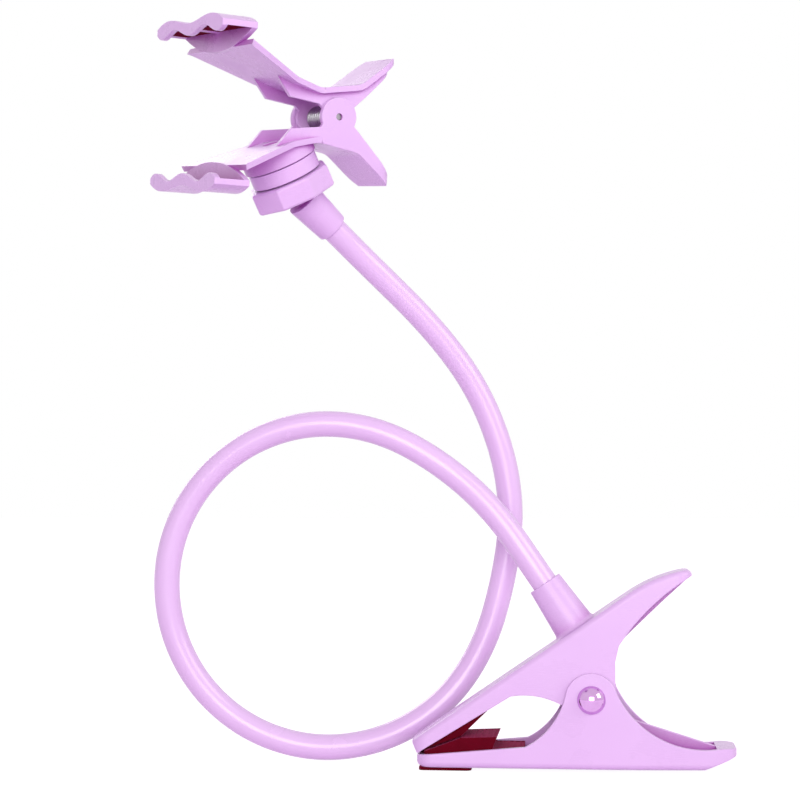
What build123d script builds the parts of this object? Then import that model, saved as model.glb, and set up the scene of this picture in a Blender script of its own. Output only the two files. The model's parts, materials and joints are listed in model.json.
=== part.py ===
"""Phone gooseneck holder: a spring clamp, a bendable neck and a spring clip on a ball joint.

Millimetres, +Z up, +X along the clamp from its jaw to its handle, +Y along the clamp's rivet.
The origin is the middle of the rubber foot under the clamp's jaw, on the surface it stands on.
Side-view points of the clamp are (X from the rivet, Z above the floor).
"""
from build123d import *
import math
import os

# Fits shared by all pieces
RUNNING_FIT = 0.06      # radial room of a shaft in a hole
SIDE_GAP = 0.35         # room between two faces that move past each other
SEAT_GAP = 0.15         # room round a pad or a rod in its seat

# Base clamp
PIVOT_X = 55.5          # middle of the foot to the rivet
PIVOT_Z = 27.5          # rivet above the floor
BASE_WIDTH = 32.0
WALL = 2.2              # moulded side walls
WEB = 2.4               # moulded floors and backs
RIB = 2.0               # stiffening rib inside each handle
EAR_R = 9.9             # lower arm's ears
INNER_EAR_R = 9.0       # upper arm's ears
RIVET_R = 2.6
RIVET_HEAD_R = 5.3
RIVET_HEAD_RIM = 0.7
RIVET_HEAD_H = 4.3
CAP_BORE = 1.2          # how far the rivet's end goes into its cap
FOOT_LENGTH = 20.0
FOOT_WIDTH = 26.0
FOOT_THICK = 1.3
FOOT_CORNER = 2.0
KEEL_ROUND = 2.4        # rounding along the lower arm's underside
BACK_ROUND = 2.2        # and along the upper arm's back

# Lower arm
JAW_REACH = 66.3        # rivet to the jaw's tip
JAW_TIP_RIM = 5.9       # jaw's rim above the floor, at its tip
JAW_ROOT = 25.0         # where the rim turns up into the ear
JAW_ROOT_RIM = 9.6
JAW_CORNER = 6.0
TIP_WALL = 2.6
EAR_FLARE = 2.8         # bow of the ear's front edge
HANDLE_REACH = 54.3     # rivet to the end of the lower handle
HANDLE_END_WIDTH = 24.0
HANDLE_LIP = 5.5        # thick lip at the handle's end
HANDLE_LIP_TOP = 9.5
HANDLE_LIP_FOOT = 6.5
HANDLE_LIP_SLOPE = 2.0
HANDLE_RIM = 9.2
HANDLE_END_FLOOR = 7.6  # floor of the handle's channel, at its lip
HANDLE_CHAMFER = 42.0   # where the underside starts to rise
HANDLE_SCOOP = 6.8      # hollow curve of the handle's rim
HANDLE_RIB_START = 13.4
HANDLE_RIB_TOP = 19.5

# Upper arm
TOP_SLOPE = 34.3        # degrees, the straight back of the arm
TOP_REACH = 68.6        # rivet to the back of the tip
TOP_TIP_Z = 10.8
MOUTH_TIP = (-66.2, 6.3)
MOUTH_ROOT = (-30.5, 28.2)
WINDOW_BOW = 2.4        # bow of the edge over the mouth's root
GRIP_BEND = 14.0        # where the handle's back starts to flatten
GRIP_END = (38.2, 76.6)
GRIP_TIP = (38.2, 74.0)
GRIP_ROOT = (10.4, 47.5)
GRIP_SCOOP = 2.2
GRIP_RIB_SCOOP = 0.3
GRIP_END_WIDTH = 22.0
THROAT_Z = 41.5         # where the arm's rear edge turns down to its ear

# Collar on the upper arm that takes the neck
COLLAR_PLACE = -6.1     # along X from the rivet, on the arm's back
COLLAR_LENGTH = 20.6
COLLAR_FOOT_R = 8.0
COLLAR_TOP_R = 6.7
COLLAR_FLOOR = 2.0      # bottom of its bore above the arm's back
COLLAR_ROOT_R = 2.0     # hollow rounding where it grows out of the back

# Rubber pads of the clamp
PAD_END = -39.5         # inner end of both pads, along X from the rivet
LOWER_PAD_TIP_Z = 7.1
LOWER_PAD_CREST = (-49.5, 12.5)     # where its sloping top turns level
LOWER_PAD_END_Z = 13.1
LOWER_PAD_SLANT = 4.0   # how far its top reaches past its foot
PAD_TONGUE_END = -26.0  # thin tail of the lower pad, along the channel's floor
PAD_TONGUE_Z = 8.3
UPPER_PAD_START = 2.6   # along the mouth's edge from its tip
UPPER_PAD_SEAT = 1.6    # depth of its recess
UPPER_PAD_TIP_DROP = 0.2
PAD_GAP = 0.25          # between the pads where the jaws are shut

# Base spring
SPRING_R = 6.2
SPRING_WIRE_R = 1.1
SPRING_PITCH = 2.5
SPRING_HALF_TURNS = 13
SPRING_LOW_ANGLE = -50.0
SPRING_HIGH_ANGLE = 88.0

# Neck: its route after the collar, X from the rivet
NECK_R = 5.0
NECK_CORE_R = 3.0
NECK_STRAIGHT = 35.0    # straight run out of the base collar
LOOP_LEAD = (-60.2, -3.0, 118.9)
LOOP_X = -102.5         # loop's centre
LOOP_R = 63.5
LOOP_LIFT = 0.1
LOOP_START = 74.0       # degrees round the loop, anticlockwise from +X
LOOP_STEP = 24.0
LOOP_Y = (-4.0, -4.0, -3.5, -3.0, -2.0, 0.0, 2.0, 5.0, 9.0, 16.0, 22.5, 25.0)
RISE = [(-34.5, 25.5, 72.0), (-31.3, 25.0, 97.0), (-34.8, 23.5, 122.0),
        (-45.5, 20.5, 148.5), (-63.0, 14.5, 172.0)]
HEAD_STRAIGHT = 20.0    # straight run into the head collar
ARC_SHARE = 0.47        # share of each run that its arc takes up

# Head: place and turn of the clip's pin
PIN_POINT = (-102.5, -14.0, 250.5)
HEAD_YAW = 36.0
HEAD_PITCH = 8.0
HEAD_ROLL = -0.7

# Ball joint under the clip, heights along the nut's axis from the ball's centre
BALL_PLACE = (-12.0, -27.4)     # from the pin, in the clip's own X and Z
NUT_TILT = 29.3                 # nut's axis from straight down, degrees
COLLAR_TILT = 51.9              # neck's axis from straight down
BALL_R = 7.5
STEM_R = 3.6
HEAD_COLLAR_START = 7.2
HEAD_COLLAR_LENGTH = 16.5
HEAD_COLLAR_TOP_R = 7.3
HEAD_COLLAR_END_R = 6.3
HEAD_COLLAR_BORE = 14.0
NUT_FLATS = 31.0
NUT_SIDES = 8
NUT_BELOW = 4.7
NUT_ABOVE = 3.9
NUT_CHAMFER = 0.7
NUT_THROAT = 0.4                # thickness of the ridge that squeezes the cup's lip
NUT_MOUTH_R = 10.3              # flared mouth, just under that ridge
NUT_MOUTH_END_R = 11.2
NUT_GAP = 0.6                   # open groove between the nut and the socket's flange
CUP_R = 10.6
CUP_MOUTH_R = 8.8
CUP_LIP = 2.4
CUP_TAPER = 1.5
CUP_SLOT = 1.6
CUP_SLOT_TOP = 3.6
SOCKET_FLANGE_R = 13.6
SOCKET_FLANGE_THICK = 5.6
SOCKET_STEP = 0.6               # groove between the flange and the boss
SOCKET_STEP_R = 12.0
BOSS_R = 14.4                   # round boss moulded under the lower jaw
SCREW_R = 1.9
SCREW_HEAD_R = 3.7
SCREW_HEAD_H = 2.0
SCREW_SEAT = 14.5
SCREW_TIP = 8.2
SCREW_CROSS = 0.9
SCREW_CROSS_LENGTH = 5.2

# Phone clip, its own frame: X from the hooks to the handles, Y along the pin
CLIP_WIDTH = 27.4
CLIP_WALL = 2.0
CLIP_WEB = 2.2
CLIP_EAR_R = 7.4
CLIP_INNER_EAR_R = 6.4
CLIP_PIN_R = 1.3
CLIP_PIN_RECESS = 0.9
CLIP_GRIP_TIP = (24.2, 23.8)
CLIP_GRIP_BEND = (9.5, 12.0)
CLIP_WAIST = (-8.0, 9.2)
CLIP_NECK = (-20.0, 12.0)
CLIP_BEND_R = 9.0
CLIP_GRIP_WALL = 4.4            # depth of the handle's side walls
CLIP_GRIP_TIP_WALL = 2.4
CLIP_JAW_WALL = 6.0
CLIP_WALL_END = (-29.0, 17.0)
CLIP_MOUTH = (-7.6, 4.4)
CLIP_CORNER = 7.0
HOOK_WIDTH = 61.0
HOOK_BACK = -44.0
HOOK_DEPTH = 14.0
HOOK_SKIN = 2.2
HOOK_SEAT_Z = 27.3              # half of the width that the hooks hold
HUMP_RISE = 2.6
VALLEY_RISE = 0.5               # outer hollow between the two humps
LIP_DROP = 1.9                  # lip's fingers below the seat
LIP_ARCH = 1.0                  # lip's arches above it
LIP_FINGER = 0.84               # place of the outer fingers, share of the half width
FLARE_START = 1.25              # jaw's half width where it starts to flare, share of the waist's
FLARE_END = 0.92                # and where it meets the hook, share of the hook's
HOOK_FOOT = 20.5                # lower edge of the hook's back wall
CLIP_PAD_STAND = 0.5            # pads' faces above the hook's valleys

# Phone clip's spring
CLIP_SPRING_R = 4.0
CLIP_SPRING_WIRE_R = 0.75
CLIP_SPRING_PITCH = 1.75
CLIP_SPRING_HALF_TURNS = 11
CLIP_SPRING_ANGLE = 54.0

SOCKET_FLANGE_FOOT = NUT_ABOVE + NUT_GAP
SOCKET_FLANGE_TOP = SOCKET_FLANGE_FOOT + SOCKET_FLANGE_THICK
BOSS_FOOT = SOCKET_FLANGE_TOP + SOCKET_STEP
FAR = 200.0
UPPER_WIDTH = BASE_WIDTH - 2 * (WALL + SIDE_GAP)
CLIP_INNER_WIDTH = CLIP_WIDTH - 2 * (CLIP_WALL + SIDE_GAP)
BASE_FRAME = Pos(PIVOT_X, 0, 0)
HEAD_FRAME = (
    Pos(PIVOT_X + PIN_POINT[0], PIN_POINT[1], PIN_POINT[2])
    * Rot(0, 0, HEAD_YAW)
    * Rot(HEAD_PITCH, 0, 0)
    * Rot(0, HEAD_ROLL, 0)
)


# Shared helpers

def polar(radius, degrees, centre=(0.0, 0.0)):
    """Point at that radius and angle round a side-view centre."""
    angle = math.radians(degrees)
    return centre[0] + radius * math.cos(angle), centre[1] + radius * math.sin(angle)


def step_from(point, direction, distance):
    """Side-view point that far from another, along a unit direction."""
    return point[0] + direction[0] * distance, point[1] + direction[1] * distance


def side_slab(edges, width, middle=0.0):
    """Solid of a side-view outline, that wide, centred on Y = middle."""
    face = Plane.XZ * make_face(edges)
    return Pos(0, middle, 0) * extrude(face, amount=width / 2, both=True)


def side_polygon(*points):
    return Polyline(*points, close=True)


def plan_prism(points, radii):
    """Tall upright prism of a top-view outline with rounded corners."""
    outline = FilletPolyline(*points, radius=radii, close=True)
    return extrude(make_face(outline), amount=FAR, both=True)


def rod_y(radius, length, at=(0.0, 0.0)):
    """Round rod along Y, centred, through a side-view point."""
    return Pos(at[0], 0, at[1]) * Rot(90, 0, 0) * Cylinder(radius, length)


def pillar(radius, low, high):
    return Pos(0, 0, low) * Cylinder(radius, high - low, align=(Align.CENTER, Align.CENTER, Align.MIN))


def turned(*points):
    """Solid turned round Z from its half outline of (radius, height) points."""
    return revolve(Plane.XZ * make_face(Polyline(*points, close=True)), axis=Axis.Z)


def domed_head(radius, rim, height):
    """Rivet head on the XY plane: a short rim under a round dome."""
    rise = height - rim
    ball = (radius**2 + rise**2) / (2 * rise)
    shoulder = math.asin(radius / ball) / 2
    crown = (ball * math.sin(shoulder), height - ball * (1 - math.cos(shoulder)))
    outline = [
        Polyline((0, height), (0, 0), (radius, 0), (radius, rim)),
        ThreePointArc((radius, rim), crown, (0, height)),
    ]
    return revolve(Plane.XZ * make_face(outline), axis=Axis.Z)


def leg_length(start, heading, wall_point, wall_slope, stand_off):
    """How far a straight leg goes from its start until it lies stand_off from a sloping wall."""
    along = (math.cos(math.radians(wall_slope)), math.sin(math.radians(wall_slope)))
    across = (-along[1], along[0])
    gap = (wall_point[0] - start[0]) * across[0] + (wall_point[1] - start[1]) * across[1]
    speed = heading[0] * across[0] + heading[1] * across[1]
    return (gap - math.copysign(stand_off, gap)) / speed


def torsion_spring(mean_r, wire_r, pitch, half_turns, low_angle, low_wall, high_angle, high_wall):
    """Torsion spring along Y round the origin; each straight leg ends on its wall.

    A wall is a side-view point and its slope. Half turns lie in tilted planes, so every arc is
    a true circle and runs on into the next without a kink.
    """
    low_start = low_angle + 90
    flat = (high_angle - 90 - low_start) % 180
    stand_off = wire_r + SEAT_GAP

    def on_coil(degrees, y):
        x, z = polar(mean_r, degrees)
        return Vector(x, y, z)

    def heading(degrees):
        x, z = polar(1, degrees + 90)
        return Vector(x, 0, z)

    y = -half_turns * pitch / 4
    first = on_coil(low_start, y)
    low_leg = leg_length(polar(mean_r, low_start), polar(1, low_angle), *low_wall, stand_off)
    edges = [
        Line(first - heading(low_start) * low_leg, first),
        ThreePointArc(first, on_coil(low_start + flat / 2, y), on_coil(low_start + flat, y)),
    ]
    angle = low_start + flat
    for turn in range(half_turns):
        here = on_coil(angle, y)
        there = on_coil(angle + 180, y + pitch / 2)
        crest = (here + there) / 2 + heading(angle) * ((there - here).length / 2)
        edges.append(ThreePointArc(here, crest, there))
        angle += 180
        y += pitch / 2
    last = on_coil(angle, y)
    high_leg = leg_length(polar(mean_r, angle), polar(1, high_angle), *high_wall, stand_off)
    edges.append(Line(last, last + heading(angle) * high_leg))
    path = Wire(edges)
    return sweep(Plane(origin=path @ 0, z_dir=path % 0) * Circle(wire_r), path=path)


# Base clamp: the lower arm is a channel open at the top, with its ears outside

FLOOR_Z = FOOT_THICK + WEB
LOWER_RIM_END = (HANDLE_REACH - HANDLE_LIP - HANDLE_LIP_SLOPE, HANDLE_RIM)
PIVOT = (0.0, PIVOT_Z)


def lower_plan(inset):
    """Top view of the lower arm: straight jaw, narrowing handle, rounded corners."""
    half = BASE_WIDTH / 2 - inset
    end = HANDLE_END_WIDTH / 2 - inset
    tip = -JAW_REACH + inset
    back = HANDLE_REACH - inset
    corner = JAW_CORNER - inset
    points = [(tip, -half), (EAR_R, -half), (back, -end), (back, end), (EAR_R, half), (tip, half)]
    return plan_prism(points, [corner, FAR, corner, corner, FAR, corner])


def make_lower_arm():
    ear_back = polar(EAR_R, 12, PIVOT)
    ear_front = polar(EAR_R, 170, PIVOT)
    jaw_root = (-JAW_ROOT, JAW_ROOT_RIM)
    outline = [
        Polyline(
            jaw_root,
            (-JAW_REACH, JAW_TIP_RIM),
            (-JAW_REACH, FOOT_THICK),
            (HANDLE_CHAMFER, FOOT_THICK),
            (HANDLE_REACH, HANDLE_LIP_FOOT),
            (HANDLE_REACH, HANDLE_LIP_TOP),
            (HANDLE_REACH - HANDLE_LIP, HANDLE_LIP_TOP),
            LOWER_RIM_END,
        ),
        SagittaArc(LOWER_RIM_END, ear_back, HANDLE_SCOOP),
        ThreePointArc(ear_back, polar(EAR_R, 90, PIVOT), ear_front),
        SagittaArc(ear_front, jaw_root, EAR_FLARE),
    ]
    arm = side_slab(outline, BASE_WIDTH) & lower_plan(0)
    underside = arm.faces().sort_by(Axis.Z)[0]
    arm = fillet(underside.edges().filter_by(Axis.Y, reverse=True), KEEL_ROUND)
    hollow_end = (LOWER_RIM_END[0], HANDLE_END_FLOOR)
    hollow = side_polygon(
        (-JAW_REACH, FLOOR_Z),
        (HANDLE_CHAMFER, FLOOR_Z),
        hollow_end,
        (hollow_end[0], FAR),
        (-JAW_REACH, FAR),
    )
    keep_tip = Pos(-JAW_REACH + TIP_WALL, 0, 0) * Box(
        FAR, FAR, FAR, align=(Align.MIN, Align.CENTER, Align.CENTER)
    )
    arm -= side_slab(hollow, BASE_WIDTH) & lower_plan(WALL) & keep_tip
    rib = side_polygon(
        (HANDLE_RIB_START, FLOOR_Z - WEB / 2),
        (HANDLE_CHAMFER, FLOOR_Z - WEB / 2),
        hollow_end,
        LOWER_RIM_END,
        (HANDLE_RIB_START, HANDLE_RIB_TOP),
    )
    arm += side_slab(rib, RIB)
    return BASE_FRAME * (arm - rod_y(RIVET_R + RUNNING_FIT, FAR, PIVOT))


# The upper arm is a channel open below, with its ears inside and the neck's collar on its back

TOP_ALONG = polar(1, TOP_SLOPE)
TOP_NORMAL = polar(1, TOP_SLOPE + 90)
TOP_TIP = (-TOP_REACH, TOP_TIP_Z)


def on_top(x):
    """Point of the upper arm's straight back at that X from the rivet."""
    return x, TOP_TIP_Z + (x + TOP_REACH) * math.tan(math.radians(TOP_SLOPE))


TOP_BEND = on_top(GRIP_BEND)
COLLAR_FOOT = on_top(COLLAR_PLACE)
COLLAR_PLANE = Plane(
    origin=(COLLAR_FOOT[0], 0, COLLAR_FOOT[1]), x_dir=(0, 1, 0), z_dir=(TOP_NORMAL[0], 0, TOP_NORMAL[1])
)


def upper_plan(inset):
    half = UPPER_WIDTH / 2 - inset
    end = GRIP_END_WIDTH / 2 - inset
    tip = -TOP_REACH + inset
    back = GRIP_TIP[0] - inset
    corner = JAW_CORNER - inset
    points = [(tip, -half), (0, -half), (back, -end), (back, end), (0, half), (tip, half)]
    return plan_prism(points, [corner, FAR, corner, corner, FAR, corner])


def upper_outline(scoop):
    """Side view of the upper arm, with that much hollow in the handle's lower edge."""
    ear_front = polar(INNER_EAR_R, 210, PIVOT)
    return [
        TangentArc(TOP_BEND, GRIP_END, tangent=TOP_ALONG),
        Line(GRIP_END, GRIP_TIP),
        SagittaArc(GRIP_TIP, GRIP_ROOT, -scoop),
        Polyline(GRIP_ROOT, (INNER_EAR_R, THROAT_Z), (INNER_EAR_R, PIVOT_Z)),
        ThreePointArc((INNER_EAR_R, PIVOT_Z), polar(INNER_EAR_R, 270, PIVOT), ear_front),
        SagittaArc(ear_front, MOUTH_ROOT, -WINDOW_BOW),
        Polyline(MOUTH_ROOT, MOUTH_TIP, TOP_TIP, TOP_BEND),
    ]


def mouth_frame():
    """Unit directions along the upper mouth's edge, from its tip, and up into the jaw."""
    run = (MOUTH_ROOT[0] - MOUTH_TIP[0], MOUTH_ROOT[1] - MOUTH_TIP[1])
    length = math.hypot(*run)
    along = (run[0] / length, run[1] / length)
    return along, (-along[1], along[0])


def make_upper_arm():
    arm = side_slab(upper_outline(GRIP_SCOOP), UPPER_WIDTH) & upper_plan(0)
    back = arm.faces().sort_by(Axis((0, 0, 0), (TOP_NORMAL[0], 0, TOP_NORMAL[1])))[-1]
    arm = fillet(back.edges().filter_by(Axis.Y, reverse=True), BACK_ROUND)
    hollow_start = step_from(on_top(PAD_END + WEB), TOP_NORMAL, -WEB)
    hollow_bend = step_from(TOP_BEND, TOP_NORMAL, -WEB)
    hollow_end = (GRIP_END[0] - WEB, GRIP_END[1] - WEB)
    hollow = [
        TangentArc(hollow_bend, hollow_end, tangent=TOP_ALONG),
        Polyline(hollow_end, (FAR, hollow_end[1]), (FAR, -FAR), (hollow_start[0], -FAR), hollow_start),
        Line(hollow_start, hollow_bend),
    ]
    arm -= side_slab(hollow, UPPER_WIDTH) & upper_plan(WALL)
    rib = [
        TangentArc(TOP_BEND, GRIP_END, tangent=TOP_ALONG),
        Line(GRIP_END, GRIP_TIP),
        SagittaArc(GRIP_TIP, GRIP_ROOT, -GRIP_RIB_SCOOP),
        Line(GRIP_ROOT, TOP_BEND),
    ]
    arm += side_slab(rib, RIB)
    along, inward = mouth_frame()
    seat_start = step_from(MOUTH_TIP, along, UPPER_PAD_START)
    seat_end = step_from(MOUTH_TIP, along, hollow_start[0] - MOUTH_TIP[0] + 2 * WEB)
    seat = side_polygon(
        step_from(seat_start, inward, -WEB),
        step_from(seat_end, inward, -WEB),
        step_from(seat_end, inward, UPPER_PAD_SEAT),
        step_from(seat_start, inward, UPPER_PAD_SEAT),
    )
    arm -= side_slab(seat, UPPER_WIDTH - 2 * WALL)
    root = COLLAR_ROOT_R
    hollow_root = (COLLAR_FOOT_R + root, root)
    collar_outline = [
        Polyline((0, COLLAR_LENGTH), (0, -WEB / 2), (hollow_root[0], -WEB / 2), (hollow_root[0], 0)),
        ThreePointArc((hollow_root[0], 0), polar(root, 225, hollow_root), (COLLAR_FOOT_R, root)),
        Polyline((COLLAR_FOOT_R, root), (COLLAR_TOP_R, COLLAR_LENGTH), (0, COLLAR_LENGTH)),
    ]
    collar = COLLAR_PLANE.location * revolve(Plane.XZ * make_face(collar_outline), axis=Axis.Z)
    bore = COLLAR_PLANE.location * pillar(NECK_R + RUNNING_FIT, COLLAR_FLOOR, FAR)
    arm = arm + collar - bore
    return BASE_FRAME * (arm - rod_y(RIVET_R + RUNNING_FIT, FAR, PIVOT))


def make_upper_pad():
    along, inward = mouth_frame()
    reach = (PAD_END - MOUTH_TIP[0]) / along[0]
    start = step_from(MOUTH_TIP, along, UPPER_PAD_START + SEAT_GAP)
    end = step_from(MOUTH_TIP, along, reach)
    outline = side_polygon(
        step_from(start, inward, UPPER_PAD_SEAT),
        step_from(start, inward, -UPPER_PAD_TIP_DROP),
        (LOWER_PAD_CREST[0], LOWER_PAD_CREST[1] + PAD_GAP),
        step_from(end, inward, -UPPER_PAD_TIP_DROP),
        step_from(end, inward, UPPER_PAD_SEAT),
    )
    return BASE_FRAME * side_slab(outline, UPPER_WIDTH - 2 * (WALL + SEAT_GAP))


def make_lower_pad():
    start = -JAW_REACH + TIP_WALL + SEAT_GAP
    slope = LOWER_PAD_SLANT / (LOWER_PAD_END_Z - FLOOR_Z)
    outline = side_polygon(
        (start, FLOOR_Z),
        (PAD_TONGUE_END, FLOOR_Z),
        (PAD_TONGUE_END, PAD_TONGUE_Z),
        (PAD_END + slope * (PAD_TONGUE_Z - FLOOR_Z), PAD_TONGUE_Z),
        (PAD_END + LOWER_PAD_SLANT, LOWER_PAD_END_Z),
        LOWER_PAD_CREST,
        (start, LOWER_PAD_TIP_Z),
    )
    return BASE_FRAME * (side_slab(outline, BASE_WIDTH) & lower_plan(WALL + SEAT_GAP))


def make_foot():
    pad = Box(FOOT_LENGTH, FOOT_WIDTH, FOOT_THICK, align=(Align.CENTER, Align.CENTER, Align.MIN))
    return fillet(pad.edges().filter_by(Axis.Z), FOOT_CORNER)


def make_rivet():
    half = BASE_WIDTH / 2
    shaft = pillar(RIVET_R, -half - CAP_BORE, half)
    head = Pos(0, 0, half) * domed_head(RIVET_HEAD_R, RIVET_HEAD_RIM, RIVET_HEAD_H)
    return Pos(PIVOT_X, 0, PIVOT_Z) * Rot(90, 0, 0) * (shaft + head)


def make_rivet_cap():
    cap = domed_head(RIVET_HEAD_R, RIVET_HEAD_RIM, RIVET_HEAD_H)
    cap -= pillar(RIVET_R + RUNNING_FIT, -CAP_BORE, CAP_BORE + SEAT_GAP)
    return Pos(PIVOT_X, BASE_WIDTH / 2, PIVOT_Z) * Rot(-90, 0, 0) * cap


def make_base_spring():
    inner_back = step_from(TOP_BEND, TOP_NORMAL, -WEB)
    spring = torsion_spring(
        SPRING_R, SPRING_WIRE_R, SPRING_PITCH, SPRING_HALF_TURNS,
        SPRING_LOW_ANGLE, ((0, FLOOR_Z - PIVOT_Z), 0),
        SPRING_HIGH_ANGLE, ((inner_back[0], inner_back[1] - PIVOT_Z), TOP_SLOPE),
    )
    return Pos(PIVOT_X, 0, PIVOT_Z) * spring


# Ball joint: everything lies on the nut's axis, apart from the ball and its collar

def axis_plane(tilt):
    """Plane at the ball's centre whose Z points up along an axis tilted that far, in the clip's frame."""
    angle = math.radians(tilt)
    return Plane(
        origin=(BALL_PLACE[0], 0, BALL_PLACE[1]),
        x_dir=(math.cos(angle), 0, math.sin(angle)),
        z_dir=(-math.sin(angle), 0, math.cos(angle)),
    )


NUT_FRAME = axis_plane(NUT_TILT).location
NECK_END_FRAME = axis_plane(COLLAR_TILT).location


def make_ball_collar():
    end = HEAD_COLLAR_START + HEAD_COLLAR_LENGTH
    collar = turned(
        (0, 0), (STEM_R, 0), (STEM_R, -HEAD_COLLAR_START), (HEAD_COLLAR_TOP_R, -HEAD_COLLAR_START),
        (HEAD_COLLAR_END_R, -end), (0, -end),
    )
    collar += Sphere(BALL_R)
    collar -= pillar(NECK_R + RUNNING_FIT, -FAR, -end + HEAD_COLLAR_BORE)
    return HEAD_FRAME * NECK_END_FRAME * collar


def make_socket():
    cup = turned(
        (0, BOSS_FOOT), (SOCKET_STEP_R, BOSS_FOOT), (SOCKET_STEP_R, SOCKET_FLANGE_TOP),
        (SOCKET_FLANGE_R, SOCKET_FLANGE_TOP), (SOCKET_FLANGE_R, SOCKET_FLANGE_FOOT),
        (CUP_R, SOCKET_FLANGE_FOOT), (CUP_R, CUP_TAPER), (CUP_MOUTH_R, -CUP_LIP), (0, -CUP_LIP),
    )
    cup -= Sphere(BALL_R + RUNNING_FIT)
    slot = Pos(0, 0, CUP_SLOT_TOP) * Box(
        FAR, CUP_SLOT, CUP_SLOT_TOP + FAR, align=(Align.CENTER, Align.CENTER, Align.MAX)
    )
    cup -= slot
    cup -= Rot(0, 0, 90) * slot
    cup -= pillar(SCREW_R + RUNNING_FIT, SCREW_TIP - SEAT_GAP, FAR)
    return HEAD_FRAME * NUT_FRAME * cup


def make_nut():
    outline = RegularPolygon(NUT_FLATS / 2, NUT_SIDES, major_radius=False)
    blank = Pos(0, 0, -NUT_BELOW) * extrude(outline, amount=NUT_BELOW + NUT_ABOVE)
    rims = blank.edges().filter_by(GeomType.LINE).filter_by(Axis.Z, reverse=True)
    blank = chamfer(rims, NUT_CHAMFER)
    bore = turned(
        (0, FAR), (CUP_R + SIDE_GAP, FAR), (CUP_R + SIDE_GAP, CUP_TAPER),
        (CUP_MOUTH_R + SIDE_GAP, -CUP_LIP), (CUP_MOUTH_R + SIDE_GAP, -CUP_LIP - NUT_THROAT),
        (NUT_MOUTH_R, -CUP_LIP - NUT_THROAT), (NUT_MOUTH_END_R, -NUT_BELOW), (0, -NUT_BELOW),
    )
    return HEAD_FRAME * NUT_FRAME * (blank - bore)


def make_socket_screw():
    screw = pillar(SCREW_R, SCREW_TIP, SCREW_SEAT)
    screw += pillar(SCREW_HEAD_R, SCREW_SEAT, SCREW_SEAT + SCREW_HEAD_H)
    for turn in (0, 90):
        screw -= Pos(0, 0, SCREW_SEAT + SCREW_HEAD_H) * Rot(0, 0, turn) * Box(
            SCREW_CROSS_LENGTH, SCREW_CROSS, SCREW_HEAD_H
        )
    return HEAD_FRAME * NUT_FRAME * screw


# Phone clip: both jaws have the same form, one turned over and wider at its ears

HOOK_FRONT = HOOK_BACK - HOOK_DEPTH
HOOK_HALF = HOOK_WIDTH / 2


def wave(z, sign):
    """Two arches side by side along Y, from the far end to the near one for sign 1."""
    ends = [(-sign * HOOK_HALF, z), (0, z), (sign * HOOK_HALF, z)]
    crests = [(-sign * HOOK_HALF / 2, z + HUMP_RISE), (sign * HOOK_HALF / 2, z + HUMP_RISE)]
    return [
        ThreePointArc(ends[0], crests[0], ends[1]),
        ThreePointArc(ends[1], crests[1], ends[2]),
    ]


def outer_wave(z):
    """The hook's outside: the same two humps, with a soft hollow between them."""
    return Spline(
        (-HOOK_HALF, z),
        (-HOOK_HALF / 2, z + HUMP_RISE),
        (0, z + VALLEY_RISE),
        (HOOK_HALF / 2, z + HUMP_RISE),
        (HOOK_HALF, z),
    )


def across(edges, x_low, x_high):
    """Solid of an outline seen along X, between two places along X."""
    return Pos(x_low, 0, 0) * extrude(Plane.YZ * make_face(edges), amount=x_high - x_low)


def make_hook():
    inner = HOOK_SEAT_Z
    outer = HOOK_SEAT_Z + HOOK_SKIN
    ends = [
        Line((HOOK_HALF, outer), (HOOK_HALF, inner)),
        Line((-HOOK_HALF, inner), (-HOOK_HALF, outer)),
    ]
    shelf = [outer_wave(outer)] + wave(inner, -1) + ends
    back = [
        outer_wave(outer),
        ThreePointArc((HOOK_HALF, inner), (0, HOOK_FOOT), (-HOOK_HALF, inner)),
    ] + ends
    finger = inner - LIP_DROP
    arch = inner + LIP_ARCH
    lip = [
        outer_wave(outer),
        Spline(
            (HOOK_HALF, inner),
            (HOOK_HALF * LIP_FINGER, finger),
            (HOOK_HALF / 2, arch),
            (0, finger),
            (-HOOK_HALF / 2, arch),
            (-HOOK_HALF * LIP_FINGER, finger),
            (-HOOK_HALF, inner),
        ),
    ] + ends
    hook = across(shelf, HOOK_FRONT, HOOK_BACK)
    hook += across(back, HOOK_BACK - HOOK_SKIN, HOOK_BACK)
    hook += across(lip, HOOK_FRONT, HOOK_FRONT + HOOK_SKIN)
    return hook


def web_path():
    join = (HOOK_BACK - HOOK_SKIN / 2, HOOK_FOOT + CLIP_WEB)
    return FilletPolyline(
        CLIP_GRIP_TIP, CLIP_GRIP_BEND, CLIP_WAIST, CLIP_NECK, join, radius=CLIP_BEND_R
    )


def jaw_plan():
    """Top view of a jaw: narrow handle and waist, then a flare out to the hook."""
    half = CLIP_WIDTH / 2
    flare = [
        (CLIP_WAIST[0], half),
        (CLIP_NECK[0], half * FLARE_START),
        (HOOK_BACK, HOOK_HALF * FLARE_END),
        (HOOK_BACK - HOOK_SKIN, HOOK_HALF),
    ]
    grip = CLIP_GRIP_TIP[0] + CLIP_WEB / 2
    points = [(grip, half)] + flare
    points += [(x, -y) for x, y in reversed(points)]
    bend = CLIP_CORNER * 2
    return plan_prism(points, [CLIP_CORNER, bend, bend, 0, 0, 0, 0, bend, bend, CLIP_CORNER])


def rim_plan(width, inset):
    """Top view inside a jaw's side walls: parallel sides, with the handle's rounded end."""
    margin = (CLIP_WIDTH - width) / 2 + inset
    half = CLIP_WIDTH / 2 - margin
    end = CLIP_GRIP_TIP[0] + CLIP_WEB / 2 - margin
    corner = CLIP_CORNER - margin
    return plan_prism([(-FAR, half), (end, half), (end, -half), (-FAR, -half)], [0, corner, corner, 0])


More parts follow.
